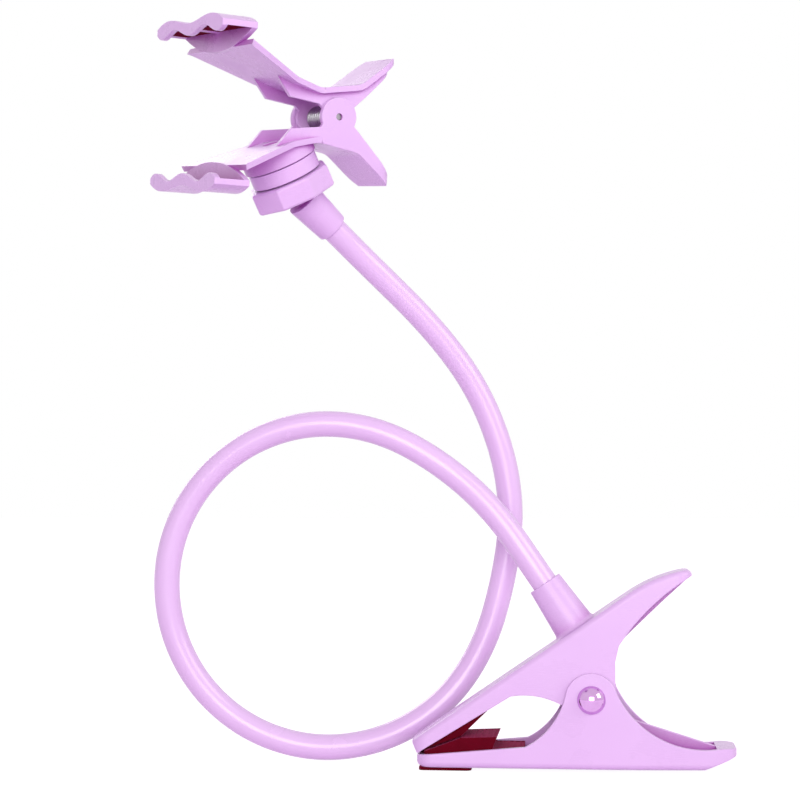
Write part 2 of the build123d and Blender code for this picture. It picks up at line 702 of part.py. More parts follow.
def grip_normal():
    run = (CLIP_GRIP_TIP[0] - CLIP_GRIP_BEND[0], CLIP_GRIP_TIP[1] - CLIP_GRIP_BEND[1])
    length = math.hypot(*run)
    return run[1] / length, -run[0] / length


def make_jaw(width, ear_r):
    """Upper jaw of the clip, that wide over its side walls."""
    web = side_slab(trace(web_path(), CLIP_WEB), HOOK_WIDTH) & jaw_plan()
    down = grip_normal()
    ear_back = polar(ear_r, 25)
    ear_front = polar(ear_r, 155)
    wall = [
        Polyline(
            ear_front,
            CLIP_MOUTH,
            (CLIP_NECK[0], CLIP_NECK[1] - CLIP_JAW_WALL),
            CLIP_WALL_END,
            CLIP_NECK,
            CLIP_WAIST,
            CLIP_GRIP_BEND,
            CLIP_GRIP_TIP,
            step_from(CLIP_GRIP_TIP, down, CLIP_GRIP_TIP_WALL),
            step_from(CLIP_GRIP_BEND, down, CLIP_GRIP_WALL),
            ear_back,
        ),
        ThreePointArc(ear_back, polar(ear_r, 270), ear_front),
    ]
    rim = side_slab(wall, CLIP_WIDTH) & (rim_plan(width, 0) - rim_plan(width, CLIP_WALL))
    return web + make_hook() + rim - rod_y(CLIP_PIN_R + RUNNING_FIT, FAR)


def make_lower_jaw():
    jaw = mirror(make_jaw(CLIP_WIDTH, CLIP_EAR_R), about=Plane.XY)
    path = mirror(web_path(), about=Plane.XZ)
    start = CLIP_GRIP_TIP[0], -CLIP_GRIP_TIP[1]
    end = path @ 1
    below = [path, Polyline((end.X, end.Y), (end.X, -FAR), (start[0], -FAR), start)]
    boss = NUT_FRAME * pillar(BOSS_R, BOSS_FOOT, FAR) & side_slab(below, FAR)
    jaw += boss
    jaw -= NUT_FRAME * pillar(SCREW_R + RUNNING_FIT, 0, FAR)
    jaw -= NUT_FRAME * pillar(SCREW_HEAD_R + SEAT_GAP, SCREW_SEAT, SCREW_SEAT + BOSS_R)
    return HEAD_FRAME * jaw


def make_upper_jaw():
    return HEAD_FRAME * make_jaw(CLIP_INNER_WIDTH, CLIP_INNER_EAR_R)


def make_clip_pad(side):
    """Rubber pad in one arch of the upper hook; side is -1 for the near one, 1 for the far one."""
    arch_r = ((HOOK_HALF / 2) ** 2 + HUMP_RISE**2) / (2 * HUMP_RISE)
    middle = side * HOOK_HALF / 2
    face_z = HOOK_SEAT_Z + CLIP_PAD_STAND
    crest = HOOK_SEAT_Z + HUMP_RISE - SEAT_GAP
    rise = arch_r - HUMP_RISE + CLIP_PAD_STAND
    half = math.sqrt((arch_r - SEAT_GAP) ** 2 - rise**2)
    outline = [
        ThreePointArc((middle - half, face_z), (middle, crest), (middle + half, face_z)),
        Line((middle + half, face_z), (middle - half, face_z)),
    ]
    return across(outline, HOOK_FRONT + HOOK_SKIN + SEAT_GAP, HOOK_BACK - HOOK_SKIN - SEAT_GAP)


def make_clip_pin():
    return HEAD_FRAME * rod_y(CLIP_PIN_R, CLIP_WIDTH - 2 * CLIP_PIN_RECESS)


def make_clip_spring():
    down = grip_normal()
    slope = math.degrees(math.atan2(down[0], -down[1]))
    inner = step_from(CLIP_GRIP_BEND, down, CLIP_WEB / 2)
    return HEAD_FRAME * torsion_spring(
        CLIP_SPRING_R, CLIP_SPRING_WIRE_R, CLIP_SPRING_PITCH, CLIP_SPRING_HALF_TURNS,
        -CLIP_SPRING_ANGLE, ((inner[0], -inner[1]), -slope),
        CLIP_SPRING_ANGLE, (inner, slope),
    )


# Neck: straight runs joined by arcs as large as the runs allow

def neck_route():
    def from_collar(distance):
        x, z = step_from(COLLAR_FOOT, TOP_NORMAL, distance)
        return Vector(PIVOT_X + x, 0, z)

    def from_ball(distance):
        return (HEAD_FRAME * NECK_END_FRAME * Pos(0, 0, -distance)).position

    loop_z = LOOP_R + NECK_R + LOOP_LIFT
    corner_r = LOOP_R / math.cos(math.radians(LOOP_STEP / 2))
    loop = []
    for step, y in enumerate(LOOP_Y):
        x, z = polar(corner_r, LOOP_START + LOOP_STEP * step, (LOOP_X, loop_z))
        loop.append(Vector(PIVOT_X + x, y, z))
    head_end = HEAD_COLLAR_START + HEAD_COLLAR_LENGTH
    return (
        [from_collar(COLLAR_FLOOR + SEAT_GAP), from_collar(COLLAR_LENGTH + NECK_STRAIGHT)]
        + [Vector(PIVOT_X + x, y, z) for x, y, z in [LOOP_LEAD]]
        + loop
        + [Vector(PIVOT_X + x, y, z) for x, y, z in RISE]
        + [from_ball(head_end + HEAD_STRAIGHT), from_ball(head_end - HEAD_COLLAR_BORE + SEAT_GAP)]
    )


def neck_path():
    route = neck_route()
    radii = []
    for before, here, after in zip(route, route[1:], route[2:]):
        turn = (here - before).get_angle(after - here)
        run = min((here - before).length, (after - here).length)
        radii.append(ARC_SHARE * run / math.tan(math.radians(turn / 2)))
    return Wire(FilletPolyline(*route, radius=radii).edges())


def make_neck():
    path = neck_path()
    start = Plane(origin=path @ 0, z_dir=path % 0)
    outer = sweep(start * Circle(NECK_R), path=path)
    bore = sweep(start * Circle(NECK_CORE_R + RUNNING_FIT), path=path)
    core = sweep(start * Circle(NECK_CORE_R), path=path)
    sleeve = outer - bore
    print("neck length", round(path.length, 1))
    return sleeve, core


os.makedirs("parts", exist_ok=True)
gooseneck_sleeve, gooseneck_core = make_neck()
pieces = {
    "base_lower_arm": make_lower_arm(),
    "base_upper_arm": make_upper_arm(),
    "base_pivot_rivet": make_rivet(),
    "base_rivet_cap": make_rivet_cap(),
    "base_torsion_spring": make_base_spring(),
    "lower_jaw_pad": make_lower_pad(),
    "upper_jaw_pad": make_upper_pad(),
    "jaw_foot": make_foot(),
    "gooseneck_sleeve": gooseneck_sleeve,
    "gooseneck_core": gooseneck_core,
    "neck_ball_collar": make_ball_collar(),
    "ball_socket": make_socket(),
    "socket_nut": make_nut(),
    "socket_screw": make_socket_screw(),
    "phone_lower_jaw": make_lower_jaw(),
    "phone_upper_jaw": make_upper_jaw(),
    "phone_pivot_pin": make_clip_pin(),
    "phone_torsion_spring": make_clip_spring(),
}
for name, side in (("near", -1), ("far", 1)):
    pad = make_clip_pad(side)
    pieces["phone_upper_pad_" + name] = HEAD_FRAME * pad
    pieces["phone_lower_pad_" + name] = HEAD_FRAME * mirror(pad, about=Plane.XY)
for name, piece in pieces.items():
    export_step(piece, f"parts/{name}.step")
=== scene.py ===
"""A clip-on phone holder on a bendable neck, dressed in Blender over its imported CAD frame."""
# %% [markdown]
# ## The frame
# The holder arrives as a imported model: five rigid bodies joined by hinges, each carrying its solids,
# in metres. It is loaded once and never moved. Everything made below is laid on it.

# %% Load the imported model
import bpy
import json
import math
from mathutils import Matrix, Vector


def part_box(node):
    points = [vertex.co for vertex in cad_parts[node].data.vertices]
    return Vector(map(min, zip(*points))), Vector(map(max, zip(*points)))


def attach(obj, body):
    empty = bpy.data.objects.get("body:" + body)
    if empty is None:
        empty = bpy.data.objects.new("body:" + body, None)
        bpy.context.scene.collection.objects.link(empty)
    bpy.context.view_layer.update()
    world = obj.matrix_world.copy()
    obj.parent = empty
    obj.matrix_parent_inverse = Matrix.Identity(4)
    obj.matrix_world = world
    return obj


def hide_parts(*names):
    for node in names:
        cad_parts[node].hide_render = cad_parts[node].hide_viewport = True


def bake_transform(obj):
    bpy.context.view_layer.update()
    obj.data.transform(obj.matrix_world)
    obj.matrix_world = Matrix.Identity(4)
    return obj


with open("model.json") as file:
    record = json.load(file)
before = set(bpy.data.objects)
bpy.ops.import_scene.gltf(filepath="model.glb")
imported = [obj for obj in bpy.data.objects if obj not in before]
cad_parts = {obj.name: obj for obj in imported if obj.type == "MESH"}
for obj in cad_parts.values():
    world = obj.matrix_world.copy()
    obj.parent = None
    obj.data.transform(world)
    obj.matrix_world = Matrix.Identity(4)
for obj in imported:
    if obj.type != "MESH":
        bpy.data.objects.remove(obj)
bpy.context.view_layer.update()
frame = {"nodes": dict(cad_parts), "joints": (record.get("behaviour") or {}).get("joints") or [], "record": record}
solids = frame["nodes"]
body_of = {}
for body, names in frame["record"]["behaviour"]["bodies"].items():
    for name in names:
        body_of[name] = body


def hinge_named(name):
    """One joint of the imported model, with its place, axis and two bodies."""
    return next(joint for joint in frame["joints"] if joint["name"] == name)


# %% [markdown]
# ## The camera
# The picture is taken from in front and a little to the right, with a long lens held at about the
# height of the neck's loop, so the clamp is seen slightly from above and the phone clip from below.
# A lens could be tried by eye. Working from the picture's own scale is quicker: how many pixels a
# thing one unit wide covers at one unit's distance.

# %% Place the camera
PICTURE_PIXELS = 800
PIXELS_PER_SLOPE = 1872
SENSOR_WIDTH = 36
EYE = (0.058, -0.727, 0.105)
EYE_TURN = math.radians(6.0)
EYE_PITCH = math.radians(2.86)

bpy.ops.object.camera_add(location=EYE, rotation=(math.pi / 2 + EYE_PITCH, 0, EYE_TURN))
camera = bpy.context.object
camera.name = "Camera"
camera.data.sensor_width = SENSOR_WIDTH
camera.data.lens = PIXELS_PER_SLOPE / PICTURE_PIXELS * SENSOR_WIDTH
camera.data.clip_start = 0.01
bpy.context.scene.camera = camera
print("lens", round(camera.data.lens, 1), "mm")


# %% [markdown]
# ## Wiring materials as sums
# Every finish on the holder is a tree of nodes. Placed one by one, the nodes hide what they work out,
# so a small class wraps a socket and turns Python's + - * into Math nodes, also where the number
# comes first, as in 1 - mask. Any other node, such as a noise, comes from one method that takes the
# node's type, its settings, and the values or links of its sockets.

# %% A socket that can be reckoned with
class Value:
    """One output socket of a node tree, which can be added, taken away and multiplied."""

    def __init__(self, wiring, socket):
        self.wiring = wiring
        self.socket = socket

    def _math(self, operation, first, second):
        return self.wiring.node("ShaderNodeMath", {"operation": operation}, {0: first, 1: second})

    def __add__(self, other):
        return self._math("ADD", self, other)

    def __radd__(self, other):
        return self._math("ADD", other, self)

    def __sub__(self, other):
        return self._math("SUBTRACT", self, other)

    def __rsub__(self, other):
        return self._math("SUBTRACT", other, self)

    def __mul__(self, other):
        return self._math("MULTIPLY", self, other)

    def __rmul__(self, other):
        return self._math("MULTIPLY", other, self)


# %% A node tree that nodes are added to
MIX_SHARE = 0
MIX_FIRST = 6
MIX_SECOND = 7
MIX_RESULT = 2


class Wiring:
    """A node tree in the making."""

    def __init__(self, tree):
        self.tree = tree

    def plug(self, socket, value):
        if isinstance(value, Value):
            self.tree.links.new(value.socket, socket)
        else:
            socket.default_value = value

    def node(self, kind, settings=None, inputs=None, output=0):
        made = self.tree.nodes.new(kind)
        for key, setting in (settings or {}).items():
            if key == "stops":
                for element, (place, level) in zip(made.color_ramp.elements, setting):
                    element.position = place
                    element.color = (level, level, level, 1)
            else:
                setattr(made, key, setting)
        for key, value in (inputs or {}).items():
            self.plug(made.inputs[key], value)
        return Value(self, made.outputs[output])

    def blend(self, share, first, second):
        """A colour between two colours."""
        inputs = {MIX_SHARE: share, MIX_FIRST: first, MIX_SECOND: second}
        return self.node("ShaderNodeMix", {"data_type": "RGBA"}, inputs, output=MIX_RESULT)


# %% A finish: a material with one Principled shader
SPECK_FADE = 1.6


class Finish(Wiring):
    """A material, with the few kinds of node that the holder's finishes share."""

    def __init__(self, name):
        self.material = bpy.data.materials.new(name)
        self.material.use_nodes = True
        super().__init__(self.material.node_tree)
        self.shader = self.tree.nodes["Principled BSDF"]
        self.place = self.node("ShaderNodeTexCoord", output="Object")

    def noise(self, per_metre, detail=2.0, stretch=(1, 1, 1)):
        """A cloudy value round 0.5, with that many clouds to the metre."""
        where = self.node("ShaderNodeMapping", {}, {"Vector": self.place, "Scale": stretch})
        inputs = {"Vector": where, "Scale": per_metre, "Detail": detail}
        return self.node("ShaderNodeTexNoise", {}, inputs, output=0)

    def specks(self, per_metre, size):
        """1 inside sparse round specks, 0 elsewhere."""
        cells = {"Vector": self.place, "Scale": per_metre}
        distance = self.node("ShaderNodeTexVoronoi", {"feature": "F1"}, cells, output="Distance")
        return self.ramp(distance, size, 1, size * SPECK_FADE, 0)

    def ramp(self, value, low, low_level, high, high_level):
        """The value stretched between two levels, level outside them."""
        stops = [(low, low_level), (high, high_level)]
        return self.node("ShaderNodeValToRGB", {"stops": stops}, {"Fac": value})

    def bump(self, height, strength, depth):
        return self.node("ShaderNodeBump", {}, {"Strength": strength, "Distance": depth, "Height": height})

    def feed(self, **sockets):
        for key, value in sockets.items():
            self.plug(self.shader.inputs[key.replace("_", " ")], value)
        return self.material


def colour(red, green, blue):
    """A screen colour, 0 to 255, as the linear colour that Blender reckons with."""
    levels = []
    for level in (red, green, blue):
        share = level / 255
        levels.append(share / 12.92 if share <= 0.04045 else ((share + 0.055) / 1.055) ** 2.4)
    return (*levels, 1.0)


# %% [markdown]
# ## Lilac plastic
# The arms, jaws and nut are injection mouldings in one pale lilac, glossy but not mirror-like. A
# single colour looks like painted clay. Real mouldings carry faint clouds of pigment where the melt
# flowed, a skin with the ripple of a fruit's peel, patches dulled by hands, and hair-fine rub marks.
# Where walls stand close together the light passes from one to the other and comes back a deeper
# magenta. That shade is painted into the colour: the hollow sides of each moulding are given a
# painted deeper magenta from an occlusion node that looks only at the piece itself.

# %% Lilac plastic
def lilac_plastic(name, gloss, peel_per_metre):
    finish = Finish(name)
    clouds = finish.noise(45, 3.0)
    flow = finish.noise(26, 4.0, stretch=(1, 1, 3))
    hands = finish.ramp(finish.noise(70, 5.0), 0.45, 0, 0.7, 1)
    rubs = finish.noise(260, 2.0, stretch=(1, 6, 14))
    peel = finish.noise(peel_per_metre, 1.0)
    grain = finish.noise(2600, 2.0)
    skin = finish.blend(0.6 * clouds + 0.4 * flow, colour(229, 195, 236), colour(234, 205, 240))
    near = {"samples": 8, "only_local": True}
    # Painted shade: where the piece's own walls hide the sky, the colour is blended towards a deeper magenta.
    open_sky = finish.node("ShaderNodeAmbientOcclusion", near, {"Distance": 0.02}, output="AO")
    painted_hollow_shade = finish.ramp(open_sky, 0.35, 1, 0.88, 0)
    return finish.feed(
        Base_Color=finish.blend(0.85 * painted_hollow_shade, skin, colour(184, 72, 184)),
        Roughness=gloss + 0.08 * hands + 0.05 * (rubs - 0.5) + 0.03 * (grain - 0.5),
        Normal=finish.bump(peel + 0.15 * grain, 0.06, 0.00008),
        Specular_IOR_Level=0.3,
    )


moulded_plastic = lilac_plastic("moulded_lilac_plastic", 0.27, 480)
print("made", moulded_plastic.name)


# %% [markdown]
# ## The sleeve's plastic
# The neck's sleeve is an extruded tube of the same lilac, softer and glossier than the mouldings. It
# has no hollows, but it was pulled along its length, so its ripple is long and faint.

# %% Sleeve plastic
def sleeve_plastic(name):
    finish = Finish(name)
    clouds = finish.noise(30, 3.0)
    ripple = finish.noise(120, 2.0)
    grain = finish.noise(1900, 2.0)
    hands = finish.ramp(finish.noise(55, 5.0), 0.45, 0, 0.72, 1)
    return finish.feed(
        Base_Color=finish.blend(clouds, colour(231, 197, 237), colour(237, 209, 242)),
        Roughness=0.22 + 0.08 * hands + 0.03 * (grain - 0.5),
        Normal=finish.bump(ripple + 0.05 * grain, 0.08, 0.00012),
        Specular_IOR_Level=0.75,
    )


neck_plastic = sleeve_plastic("glossy_lilac_sleeve")
print("made", neck_plastic.name)


# %% [markdown]
# ## Dark red rubber
# The pads in the clamp's jaws and in the clip's hooks are matt maroon rubber. Rubber comes out of its
# mould with a fine sandy skin, a dusty bloom in patches, and here and there a paler speck of filler.
# Seen along its face, the dusty skin lights up to a paler red, which is what the shader's sheen is for.

# %% Rubber
def maroon_rubber(name):
    finish = Finish(name)
    bloom = finish.noise(150, 5.0)
    sand = finish.noise(4200, 2.0)
    filler = finish.specks(1500, 0.12)
    body = finish.blend(bloom, colour(84, 2, 16), colour(112, 6, 29))
    return finish.feed(
        Base_Color=finish.blend(0.15 * filler, body, colour(150, 70, 84)),
        Roughness=0.72 + 0.2 * (bloom - 0.5) + 0.1 * (sand - 0.5),
        Normal=finish.bump(sand + 0.3 * bloom, 0.3, 0.00008),
        Specular_IOR_Level=0.03,
        Sheen_Weight=0.5,
        Sheen_Tint=colour(236, 96, 150),
        Sheen_Roughness=0.45,
    )


rubber = maroon_rubber("dark_red_rubber")
print("made", rubber.name)


# %% [markdown]
# ## Metals
# The clamp turns on a chromed rivet with a bright domed head. Chrome has almost no colour of its own:
# it shows what is round it, so its finish is a mirror with fine polishing marks. Its colour is still
# given a lilac tint, a painted reflection of the lilac plastic round it. The springs, the pin
# and the screw are plain steel wire and rod, drawn through a die, greyer and duller.

# %% Chrome and steel
def polished_chrome(name):
    finish = Finish(name)
    marks = finish.noise(900, 3.0, stretch=(1, 1, 9))
    haze = finish.noise(260, 4.0)
    return finish.feed(
        # Painted reflection: the base colour is tinted lilac to stand in for the lilac plastic that the chrome
        # mirrors.
        Base_Color=finish.blend(haze, colour(200, 152, 208), colour(222, 180, 228)),
        Metallic=1.0,
        Roughness=0.07 + 0.08 * haze * marks,
        Normal=finish.bump(marks, 0.04, 0.00003),
    )


def drawn_steel(name, dark, light, gloss):
    finish = Finish(name)
    streaks = finish.noise(700, 3.0, stretch=(1, 7, 1))
    patches = finish.noise(180, 4.0)
    return finish.feed(
        Base_Color=finish.blend(patches, colour(*dark), colour(*light)),
        Metallic=1.0,
        Roughness=gloss + 0.18 * (streaks - 0.5) + 0.1 * (patches - 0.5),
        Normal=finish.bump(streaks, 0.12, 0.00003),
    )


chrome = polished_chrome("polished_chrome")
wire_steel = drawn_steel("drawn_wire_steel", (138, 134, 140), (176, 172, 178), 0.3)
core_rod = drawn_steel("soft_core_rod", (180, 180, 184), (206, 206, 210), 0.4)
print("made", chrome.name, wire_steel.name, core_rod.name)


# %% [markdown]
# ## The small steel pieces
# The clip's pin, the socket's screw and the rod inside the neck have their right shape in the packed
# model, so they stay and only take a finish.

# %% Finish the solids that stay
STEEL = ("phone_pivot_pin", "socket_screw")
for name in STEEL:
    solids[name].material_slots[0].material = wire_steel
solids["gooseneck_core"].material_slots[0].material = core_rod
print("steel on", ", ".join(STEEL))


# %% [markdown]
# ## The neck's sleeve
# The neck leaves the clamp's collar, turns one large loop and climbs to the head. Sweeping circles by
# hand along such a way gives kinks. A NURBS curve drawn by the same corner points is smooth by itself,
# and its bevel setting makes the tube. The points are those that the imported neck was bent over; one
# more is put at each collar's mouth, so that the tube leaves both collars straight.

# %% Bend the sleeve
SLEEVE_RADIUS = 0.005
ROUND_WIRE = math.radians(40)
NECK_ROUTE = [
    (48.19, 0.0, 55.21), (37.79, 0.0, 70.45), (18.07, 0.0, 99.37), (-4.7, -3.0, 118.9),
    (-29.11, -4.0, 131.0), (-56.03, -4.0, 132.89), (-81.4, -3.5, 123.65), (-100.82, -3.0, 104.9),
    (-110.93, -2.0, 79.87), (-109.99, 0.0, 52.89), (-98.16, 2.0, 28.63), (-77.48, 5.0, 11.28),
    (-51.53, 9.0, 3.84), (-24.8, 16.0, 7.6), (-1.9, 22.5, 21.9), (13.19, 25.0, 44.28),
    (21.0, 25.5, 72.0), (24.2, 25.0, 97.0), (20.7, 23.5, 122.0), (10.0, 20.5, 148.5),
    (-7.5, 14.5, 172.0), (-32.78, 5.64, 196.94), (-44.64, -5.07, 208.97), (-52.85, -12.48, 217.3),
]


def drop_selection():
    bpy.ops.object.select_all(action="DESELECT")


def hold(piece):
    """Makes one piece the only selected and active one."""
    drop_selection()
    piece.select_set(True)
    bpy.context.view_layer.objects.active = piece


drop_selection()
bend = bpy.data.curves.new("neck_sleeve", "CURVE")
bend.dimensions = "3D"
line = bend.splines.new("NURBS")
line.points.add(len(NECK_ROUTE) - 1)
for point, (x, y, z) in zip(line.points, NECK_ROUTE):
    point.co = (x / 1000, y / 1000, z / 1000, 1)
line.order_u = 3
line.use_endpoint_u = True
line.resolution_u = 14
bend.bevel_depth = SLEEVE_RADIUS
bend.bevel_resolution = 12
bend.use_fill_caps = True
sleeve = bpy.data.objects.new("neck_sleeve", bend)
bpy.context.collection.objects.link(sleeve)
hold(sleeve)
bpy.ops.object.convert(target="MESH")
bpy.ops.object.shade_smooth_by_angle(angle=ROUND_WIRE)
print("sleeve faces", len(sleeve.data.polygons))


# %% Fit the sleeve to its body
def fit(piece, finish, *nodes):
    """Gives a finished piece its material, and lets it stand for the solids that it replaces."""
    piece.data.materials.clear()
    piece.data.materials.append(finish)
    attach(piece, body_of[nodes[0]])
    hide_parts(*nodes)
    print(piece.name, "stands for", ", ".join(nodes), "with", len(piece.data.polygons), "faces")


fit(sleeve, neck_plastic, "gooseneck_sleeve")


# %% [markdown]
# ## Soft edges on the mouldings
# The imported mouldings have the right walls, ribs and ears, but their edges are knife-sharp, which no
# mould can make and which catches no light. Shading alone could fake a round edge, but its outline
# stays sharp. So each moulding is copied, its loose triangles are welded, flat areas become single
# faces, and the edges sharper than 28 degrees are selected and bevelled in edit mode. A Bevel modifier
# would round them all, but where fine edges run together, as at the foot of a hook, they would cut
# into each other, so a small test says which edges are left alone. Bevels leave a few faces too thin
# to see, and those are closed up, so that the mesh is one clean skin. A Weighted Normal modifier then
# keeps the broad walls flat in the light.

# %% Weld and round a moulding
FLAT = math.radians(1)
SHARP = math.radians(28)
SMOOTH = math.radians(35)


def welded_copy(node, name, weld=0.00008):
    """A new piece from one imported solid, with its triangles joined and its flat areas whole."""
    piece = bpy.data.objects.new(name, solids[node].data.copy())
    bpy.context.collection.objects.link(piece)
    hold(piece)
    bpy.ops.mesh.customdata_custom_splitnormals_clear()
    bpy.ops.object.mode_set(mode="EDIT")
    bpy.ops.mesh.select_all(action="SELECT")
    bpy.ops.mesh.remove_doubles(threshold=weld)
    bpy.ops.mesh.dissolve_limited(angle_limit=FLAT)
    bpy.ops.object.mode_set(mode="OBJECT")
    return piece


def ends_of(piece, edge):
    """The places of an edge's two ends."""
    return [piece.data.vertices[index].co for index in edge.vertices]


def select_only(piece, parts):
    """Leaves nothing selected in a mesh but the given faces or edges."""
    for part in (*piece.data.vertices, *piece.data.edges, *piece.data.polygons):
        part.select = False
    for part in parts:
        part.select = True


SLIVER = 0.000008


def clear_slivers():
    """In edit mode, closes up edges and faces that are too thin to see."""
    bpy.ops.mesh.select_all(action="SELECT")
    bpy.ops.mesh.remove_doubles(threshold=SLIVER)
    bpy.ops.mesh.dissolve_degenerate(threshold=SLIVER)
    bpy.ops.mesh.quads_convert_to_tris(quad_method="BEAUTY", ngon_method="BEAUTY")
    bpy.ops.mesh.dissolve_degenerate(threshold=SLIVER)


def soften(piece, width, segments=3, leave=None, clear=True):
    """Rounds the sharp edges of a piece, apart from those whose middle is to be left."""
    hold(piece)
    bpy.ops.object.mode_set(mode="EDIT")
    bpy.ops.mesh.select_mode(type="EDGE")
    bpy.ops.mesh.select_all(action="DESELECT")
    bpy.ops.mesh.edges_select_sharp(sharpness=SHARP)
    bpy.ops.object.mode_set(mode="OBJECT")
    rounded = []
    for edge in piece.data.edges:
        first, second = ends_of(piece, edge)
        if edge.select and not (leave and leave((first + second) / 2)):
            rounded.append(edge)
    select_only(piece, rounded)
    bpy.ops.object.mode_set(mode="EDIT")
    bpy.ops.mesh.bevel(offset=width, segments=segments, loop_slide=False, clamp_overlap=False)
    if clear:
        clear_slivers()
    bpy.ops.object.mode_set(mode="OBJECT")
    bpy.ops.object.shade_smooth_by_angle(angle=SMOOTH)
    flatten = piece.modifiers.new("Keep walls flat", "WEIGHTED_NORMAL")
    flatten.weight = 90
    flatten.keep_sharp = True
    bpy.ops.object.modifier_apply(modifier=flatten.name)


# %% Round the clamp's lower arm
LOWER_ARM_ROUND = 0.0004

lower_arm = welded_copy("base_lower_arm", "clamp_lower_arm")
soften(lower_arm, LOWER_ARM_ROUND)
fit(lower_arm, moulded_plastic, "base_lower_arm")


# %% [markdown]
# ## A rib that ends flush
# A stiffening rib runs inside the upper handle, and at the handle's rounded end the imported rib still
# has its square corner, which would show as a small block. On a moulding the rib ends flush. The block's
# faces are picked by their place and deleted, which leaves two open edges of the round, one on each
# side of the rib, and a bridge between them closes the round.

# %% Trim the rib's end
RIB_SIDE = 0.001
RIB_END_X = 0.091
RIB_END_Z = 0.0739
NEAR = 0.00005


def at_rib_end(point):
    return abs(point.y) < RIB_SIDE + NEAR and point.x > RIB_END_X and point.z > RIB_END_Z


upper_arm = welded_copy("base_upper_arm", "clamp_upper_arm")
corners = upper_arm.data.vertices
block = [
    face for face in upper_arm.data.polygons if all(at_rib_end(corners[index].co) for index in face.vertices)
]
print("faces of the block", len(block))
select_only(upper_arm, block)
bpy.ops.object.mode_set(mode="EDIT")
bpy.ops.mesh.select_mode(type="FACE")
bpy.ops.mesh.delete(type="FACE")
bpy.ops.mesh.select_mode(type="EDGE")
bpy.ops.mesh.select_non_manifold(extend=False)
bpy.ops.object.mode_set(mode="OBJECT")
open_sides = []
for edge in upper_arm.data.edges:
    first, second = ends_of(upper_arm, edge)
    if edge.select and abs(first.y - second.y) < NEAR:
        open_sides.append(edge)
print("open edges on both sides", len(open_sides))
select_only(upper_arm, open_sides)
bpy.ops.object.mode_set(mode="EDIT")
bpy.ops.mesh.bridge_edge_loops()
bpy.ops.object.mode_set(mode="OBJECT")


# %% Round the clamp's upper arm
HANDLE_END = 0.0925
HANDLE_FOOT = 0.04
HALF_RIB = 0.0016
UPPER_ARM_ROUND = 0.0003


def in_handle(middle):
    """The upper handle's inner rib and its very end, which run out to nothing."""
    return middle.z > HANDLE_FOOT and (middle.x > HANDLE_END or abs(middle.y) < HALF_RIB)


soften(upper_arm, UPPER_ARM_ROUND, leave=in_handle)
fit(upper_arm, moulded_plastic, "base_upper_arm")


# %% [markdown]
# ## The phone clip's frame
# The clip is turned and tipped in space, so its places are easiest to name in its own frame: along
# the pin, towards the handles, and up between the jaws. The pin's axis is read from the clip's hinge
# and the way to the handles from the mount in the clip's mouth.

# %% Read the clip's frame
clip_hinge = hinge_named("phone_clip")
phone_grip = next(mount for mount in frame["record"]["mounts"] if mount["name"] == "phone_grip")
PIN_MIDDLE = Vector(clip_hinge["pos_m"])
ALONG_PIN = Vector(clip_hinge["axis"])
TO_HANDLES = -Vector(phone_grip["axis"])
CLIP_UP = TO_HANDLES.cross(ALONG_PIN)


def in_clip(point):
    """How far a point is from the pin towards the handles, and how far above or below it."""
    from_pin = point - PIN_MIDDLE
    return from_pin.dot(TO_HANDLES), from_pin.dot(CLIP_UP)


print("pin along", tuple(round(part, 3) for part in ALONG_PIN))


# %% Round the phone clip's jaws
PIN_ROOM = 0.0022
WAIST = (-0.0065, 0.0084)
WAIST_ROOM = 0.003
HOOK_ROOT = (-0.0464, -0.043)
HOOK_ROOT_HEIGHT = (0.02, 0.0244)
CLIP_HANDLE_END = 0.0232
JAW_ROUND = 0.0002


def too_fine_to_round(middle):
    """The pin's holes, the waist, the hooks' roots and the handles' ends, where edges run together."""
    x, z = in_clip(middle)
    height = abs(z)
    if math.hypot(x, height) < PIN_ROOM or x > CLIP_HANDLE_END:
        return True
    if math.hypot(x - WAIST[0], height - WAIST[1]) < WAIST_ROOM:
        return True
    return HOOK_ROOT[0] < x < HOOK_ROOT[1] and HOOK_ROOT_HEIGHT[0] < height < HOOK_ROOT_HEIGHT[1]


for node, name in (("phone_lower_jaw", "clip_lower_jaw"), ("phone_upper_jaw", "clip_upper_jaw")):
    jaw = welded_copy(node, name)
    soften(jaw, JAW_ROUND, leave=too_fine_to_round)
    fit(jaw, moulded_plastic, node)


# %% [markdown]
# ## The ball joint
# The clip stands on a flange with a slotted cup, the cup holds the ball on the neck's collar, and an
# eight-sided nut closes the cup round it. The nut's corners are what the eye catches, so they get the
# widest rounding. The cup's slots lie inside the nut, with edges so close together that rounding would
# make them meet, so the edges near the nut's axis are left alone.

# %% Round the ball joint's pieces
swivel = hinge_named("head_swivel")
BALL = Vector(swivel["pos_m"])
NUT_AXIS = Vector(swivel["axis"])
CUP_ROOM = 0.0125


def inside_nut(middle):
    """The socket's slotted cup, which the nut hides."""
    from_ball = middle - BALL
    return (from_ball - NUT_AXIS * from_ball.dot(NUT_AXIS)).length < CUP_ROOM


# Solid, piece, width of its rounding, edges that are left
JOINT_PIECES = (
    ("socket_nut", "clamping_nut", 0.0004, None),
    ("ball_socket", "ball_cup", 0.0003, inside_nut),
    ("neck_ball_collar", "head_collar", 0.00025, None),
)
for node, name, width, leave in JOINT_PIECES:
    piece = welded_copy(node, name)
    soften(piece, width, leave=leave)
    fit(piece, moulded_plastic, node)


# %% [markdown]
# ## The springs
# Each torsion spring has one leg against each of the two levers that it pushes apart. When a clamp
# opens, both legs stay with their levers and the turns between them wind up. A spring that rode on
# one lever would push its other leg through the plastic. Here each spring is only copied, welded,
# smoothed and given steel in place of the imported spring; it is not blended along its pin.

# %% Copy the springs
FINE_WELD = 0.00001
